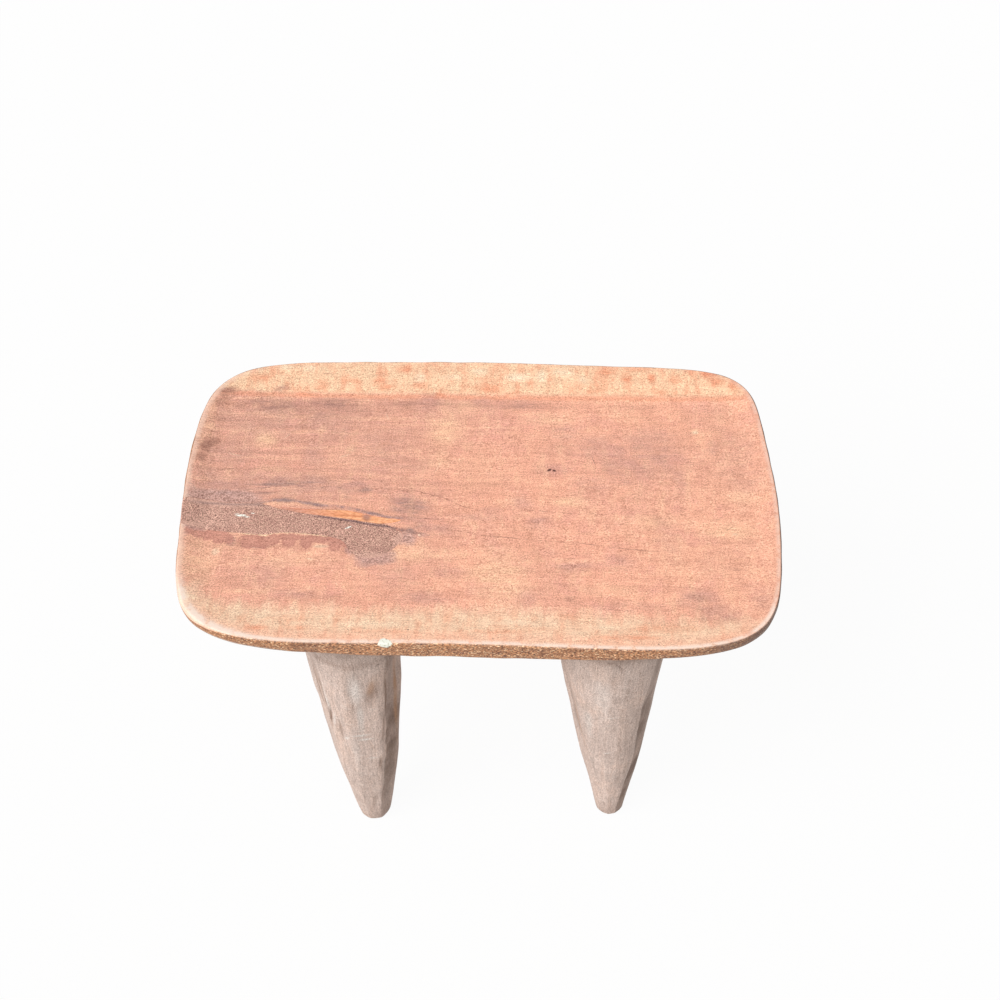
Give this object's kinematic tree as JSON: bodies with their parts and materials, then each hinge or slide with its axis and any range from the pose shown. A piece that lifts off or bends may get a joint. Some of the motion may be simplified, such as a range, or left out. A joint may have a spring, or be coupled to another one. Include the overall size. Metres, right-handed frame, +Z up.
{
  "type": "carved wooden stool",
  "caption": "Low carved wooden stool: a dished seat board with rounded corners on stout tapering round legs, with a filled crack at one end.",
  "frame": {"origin": "centre of the bounding box at the floor, between the feet", "axes": "+X along the seat towards its right-hand end as the picture shows it, +Y from the front long side to the back one, +Z up"},
  "size_m": [0.52, 0.32, 0.352],
  "materials": {
    "seat_wood": "hand-polished reddish brown hardwood, worn pale along its edges",
    "leg_wood": "bare weathered grey-brown hardwood with adze facets",
    "crack_paste": "matt, gritty sawdust and resin paste",
    "splint_wood": "fresh orange wood, satin",
    "white_filler": "matt off-white filler"
  },
  "bodies": {
    "root": {"seat_board": "seat_wood", "leg_front_left": "leg_wood", "leg_front_right": "leg_wood", "leg_rear_left": "leg_wood", "leg_rear_right": "leg_wood", "crack_paste_fill": "crack_paste", "crack_splint": "splint_wood", "rim_chip_fill": "white_filler"}
  },
  "joints": []
}
